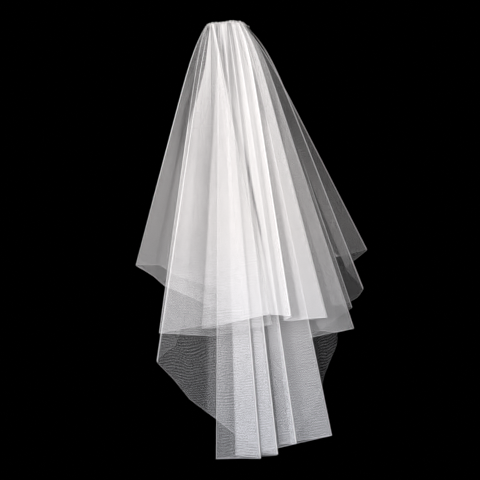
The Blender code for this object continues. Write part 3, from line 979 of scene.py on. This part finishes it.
def comb_mesh():
    length = 2 * COMB_RADIUS * COMB_REACH
    pitch = length / TOOTH_COUNT
    strip = bmesh.new()
    for tooth in range(TOOTH_COUNT):
        middle = (tooth + 0.5) * pitch - length / 2
        root = tooth_half_width(0, pitch)
        sides = (middle - pitch / 2, middle - root, middle + root, middle + pitch / 2)
        spine = bmesh.ops.create_grid(strip, x_segments=3, y_segments=2, size=0.5)
        for vertex in spine["verts"]:
            column = round((vertex.co.x + 0.5) * 3)
            share = vertex.co.y + 0.5
            vertex.co = (sides[column], SPINE_BOTTOM + (SPINE_TOP - SPINE_BOTTOM) * share, 0.0)
        blade = bmesh.ops.create_grid(strip, x_segments=2, y_segments=TOOTH_STEPS, size=0.5)
        for vertex in blade["verts"]:
            share = 0.5 - vertex.co.y
            half = tooth_half_width(share, pitch)
            height = SPINE_BOTTOM + (TOOTH_TIP - SPINE_BOTTOM) * share
            vertex.co = (middle + 2 * vertex.co.x * half, height, 0.0)
    bmesh.ops.remove_doubles(strip, verts=strip.verts, dist=0.01)
    for vertex in strip.verts:
        along, height, _ = vertex.co
        right, away = ring_point(COMB_RADIUS - COMB_LEAN * (SPINE_TOP - height), along / COMB_RADIUS)
        vertex.co = (right, away, height - arch_drop(right, away))
    bmesh.ops.recalc_face_normals(strip, faces=strip.faces)
    bmesh.ops.solidify(strip, geom=strip.faces[:], thickness=COMB_THICKNESS * WALL_SHARE)
    bmesh.ops.recalc_face_normals(strip, faces=strip.faces)
    sharp = [edge for edge in strip.edges if edge.calc_face_angle(0.0) > 1.0]
    bmesh.ops.bevel(strip, geom=sharp, affect="EDGES", offset=COMB_BEVEL, segments=2,
                    profile=0.5, material=-1)
    return finished_mesh("comb_clear", strip)


def clear_plastic():
    """Clear moulded plastic with faint flow marks, a little glossier on some spots."""
    plain = {"Base Color": (0.80, 0.83, 0.86, 1.0), "Alpha": 0.16}
    plastic, tree, shader = new_finish("clear_plastic", plain)
    flow = add_node(tree, "TexNoise", {"Vector": object_place(tree), "Scale": 160.0})["Fac"]
    gloss = math_node(tree, "MULTIPLY_ADD", flow, 0.16, 0.12)
    set_inputs(tree, shader, {"Roughness": gloss, "Normal": bumped(tree, flow, 0.15, 0.0002)})
    return plastic


comb = placed_piece("clear_comb", comb_mesh(), "comb")
comb.data.materials.append(clear_plastic())
print("comb:", TOOTH_COUNT, "teeth,", len(comb.data.polygons), "faces")

# %% [markdown]
# The sewing
#
# The net is drawn up on a running stitch and then whipped over the comb's spine with the
# same white thread. Both show only close up: short dashes along the back of the heading, and
# slanting loops along its inner edge.

# %% The stitches
THREAD_RADIUS = 0.16
THREAD_SIDES = 6
THREAD_END = 0.35
STITCH_SHARES = (0.0, 0.25, 0.5, 0.75, 1.0)
RUNNING_HEIGHTS = (-0.4, 0.5)
RUNNING_COUNT, RUNNING_FROM, RUNNING_STEP = 46, -24.6, 1.03
RUNNING_RING, RUNNING_LIFT = 94.3, 0.5
WHIP_COUNT, WHIP_FROM, WHIP_STEP = 24, -15.8, 1.37
WHIP_RING, WHIP_LIFT = 66.6, -0.45
WHIP_BOTTOM, WHIP_RISE = 0.6, 2.4
WHIP_LEAN = math.radians(0.45)
UPWARDS = Vector((0.0, 0.0, 1.0))


def add_thread(sewing, centres):
    """A tube with rounded-down ends along the points, from a small bent grid."""
    steps = len(centres) - 1
    tube = bmesh.ops.create_grid(sewing, x_segments=THREAD_SIDES, y_segments=steps, size=0.5)
    points = [Vector(point) for point in centres]
    for vertex in tube["verts"]:
        row = round((vertex.co.y + 0.5) * steps)
        turn = 2 * math.pi * (vertex.co.x + 0.5)
        way = (points[min(row + 1, steps)] - points[max(row - 1, 0)]).normalized()
        side = way.cross(UPWARDS).normalized()
        thin = THREAD_END if row in (0, steps) else 1.0
        out = side * math.cos(turn) + side.cross(way) * math.sin(turn)
        vertex.co = points[row] + out * THREAD_RADIUS * thin


def sewing_mesh(name, stitches):
    sewing = bmesh.new()
    for stitch in stitches:
        add_thread(sewing, stitch)
    bmesh.ops.remove_doubles(sewing, verts=sewing.verts, dist=0.001)
    bmesh.ops.recalc_face_normals(sewing, faces=sewing.faces)
    return finished_mesh(name, sewing)


def stitch(ring, lift, angle, length, height, rise):
    """Points of one stitch that lifts off a ring in its middle."""
    points = []
    for share in STITCH_SHARES:
        radius = ring + lift * math.sin(math.pi * share)
        right, away = ring_point(radius, angle + length * share)
        points.append((right, away, height + rise * share - arch_drop(right, away)))
    return points


def running_stitches():
    stitches = []
    for row, height in enumerate(RUNNING_HEIGHTS):
        for count in range(RUNNING_COUNT):
            start = RUNNING_FROM + RUNNING_STEP * count + 0.4 * row + 0.12 * math.sin(count * 2.3)
            length = math.radians(0.55 + 0.12 * math.sin(count * 1.7 + row))
            lifted = height + 0.2 * math.sin(count * 0.9 + row)
            stitches.append(stitch(
                RUNNING_RING, RUNNING_LIFT, math.radians(start), length, lifted, 0.0))
    return stitches


def whip_stitches():
    stitches = []
    for count in range(WHIP_COUNT):
        start = math.radians(WHIP_FROM + WHIP_STEP * count + 0.2 * math.sin(count * 1.9))
        stitches.append(stitch(WHIP_RING, WHIP_LIFT, start, WHIP_LEAN, WHIP_BOTTOM, WHIP_RISE))
    return stitches


def sewing_thread():
    """White cotton thread with a fine two-ply twist in its bump."""
    plain = {"Base Color": (0.93, 0.91, 0.90, 1.0), "Roughness": 0.7}
    thread, tree, shader = new_finish("sewing_thread", plain)
    twist = add_node(tree, "TexWave", {"Vector": object_place(tree), "Scale": 900.0})["Fac"]
    set_inputs(tree, shader, {"Normal": bumped(tree, twist, 0.4, 0.0001)})
    return thread


thread = sewing_thread()
for name, stitches in (("running_stitches", running_stitches()), ("whip_stitches", whip_stitches())):
    sewn = placed_piece(name, sewing_mesh(name, stitches))
    sewn.data.materials.append(thread)
    print(name, len(stitches), "stitches")

# %% [markdown]
# The floor
#
# The floor is a plain pale disc well below the hem, so it shows only from above.

# %% The floor
FLOOR_RADIUS, FLOOR_HEIGHT = 1.5, -1.62
floor_shape = bmesh.new()
bmesh.ops.create_circle(floor_shape, cap_ends=True, segments=96, radius=FLOOR_RADIUS)
bmesh.ops.translate(floor_shape, verts=floor_shape.verts, vec=(0.0, 0.0, FLOOR_HEIGHT))
floor_mesh = bpy.data.meshes.new("floor")
floor_shape.to_mesh(floor_mesh)
floor_shape.free()
floor = new_object("floor", floor_mesh)
pale = new_finish("pale_floor", {"Base Color": (0.72, 0.72, 0.73, 1.0), "Roughness": 0.8})[0]
floor_mesh.materials.append(pale)
floor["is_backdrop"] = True
print("floor at", FLOOR_HEIGHT, "m")

# %% [markdown]
# The light
#
# The photo was taken in a dark studio with big soft lamps. The key lamp stands to the left
# of the camera, the fill behind it, and two weak ones light the net's edges from the right
# and from behind. The room itself is black to the camera but gives the net a little light
# from all sides. Light passes many layers of net, so the rays may go on for long.

# %% The lamps
def viewer_place(right, away, up):
    """A point in metres given in the viewer's frame, turned square to the comb."""
    return Vector(head_turned(np.array([[right, away, up]]) / MM)[0])


def soft_light(name, place, aim, size, watts):
    light = bpy.data.lights.new(name, "AREA")
    light.shape = "DISK"
    light.size = size
    light.energy = watts
    lamp = new_object(name, light)
    lamp.location = place
    lamp.rotation_euler = (aim - place).to_track_quat("-Z", "Y").to_euler()
    print(name, "lamp:", size, "m wide,", watts, "W")


veil_middle = viewer_place(0.03, 0.0, -0.32)
soft_light("key", viewer_place(-1.5, -2.3, -0.25), veil_middle, 0.7, 91.0)
soft_light("fill", viewer_place(0.0, -2.9, 0.0), veil_middle, 1.2, 36.0)
soft_light("edge", viewer_place(2.3, 0.0, 0.1), veil_middle, 0.5, 8.5)
soft_light("back", viewer_place(0.2, 2.4, 0.7), veil_middle, 1.2, 24.0)

# %% The dark room and how far light goes
AMBIENT = 0.12
world = bpy.data.worlds.new("dark_studio")
world.use_nodes = True
bpy.context.scene.world = world
room = world.node_tree
room.nodes.clear()
seen = add_node(room, "Background", {"Color": (0.0, 0.0, 0.0, 1.0)})
ambient = add_node(room, "Background", {"Color": (0.96, 0.97, 1.0, 1.0), "Strength": AMBIENT})
to_camera = add_node(room, "LightPath", {})["Is Camera Ray"]
chosen = add_node(room, "MixShader", {0: to_camera, 1: ambient[0], 2: seen[0]})
add_node(room, "OutputWorld", {"Surface": chosen[0]})

scene = bpy.context.scene
scene.cycles.transparent_max_bounces = 96
scene.cycles.max_bounces = 16
scene.cycles.diffuse_bounces = 8
scene.view_settings.view_transform = "Standard"
scene.view_settings.gamma = 0.92
print("layers of net that light can pass:", scene.cycles.transparent_max_bounces)

# %% [markdown]
# The camera
#
# The camera stands where the photo's did: behind the left shoulder, level with the middle of
# the veil and 3 m away, with a long lens that fits the veil into the frame.

# %% The camera
CAMERA_PLACE = (0.02408, -3.0, -0.37152)
camera_data = bpy.data.cameras.new("camera")
camera_data.sensor_width = 36.0
camera_data.lens = 130.8
camera = new_object("camera", camera_data)
camera.location = viewer_place(*CAMERA_PLACE)
look = viewer_place(0.0, 1.0, 0.0).normalized()
camera.rotation_euler = look.to_track_quat("-Z", "Y").to_euler()
scene.camera = camera
camera_data.clip_start, camera_data.clip_end = 0.1, 20.0
print("camera at", [round(side, 3) for side in camera.location])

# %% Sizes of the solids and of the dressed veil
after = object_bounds()
for label, (low, high) in (("solids", before), ("dressed", after)):
    print(label, [round(length, 4) for length in high - low])
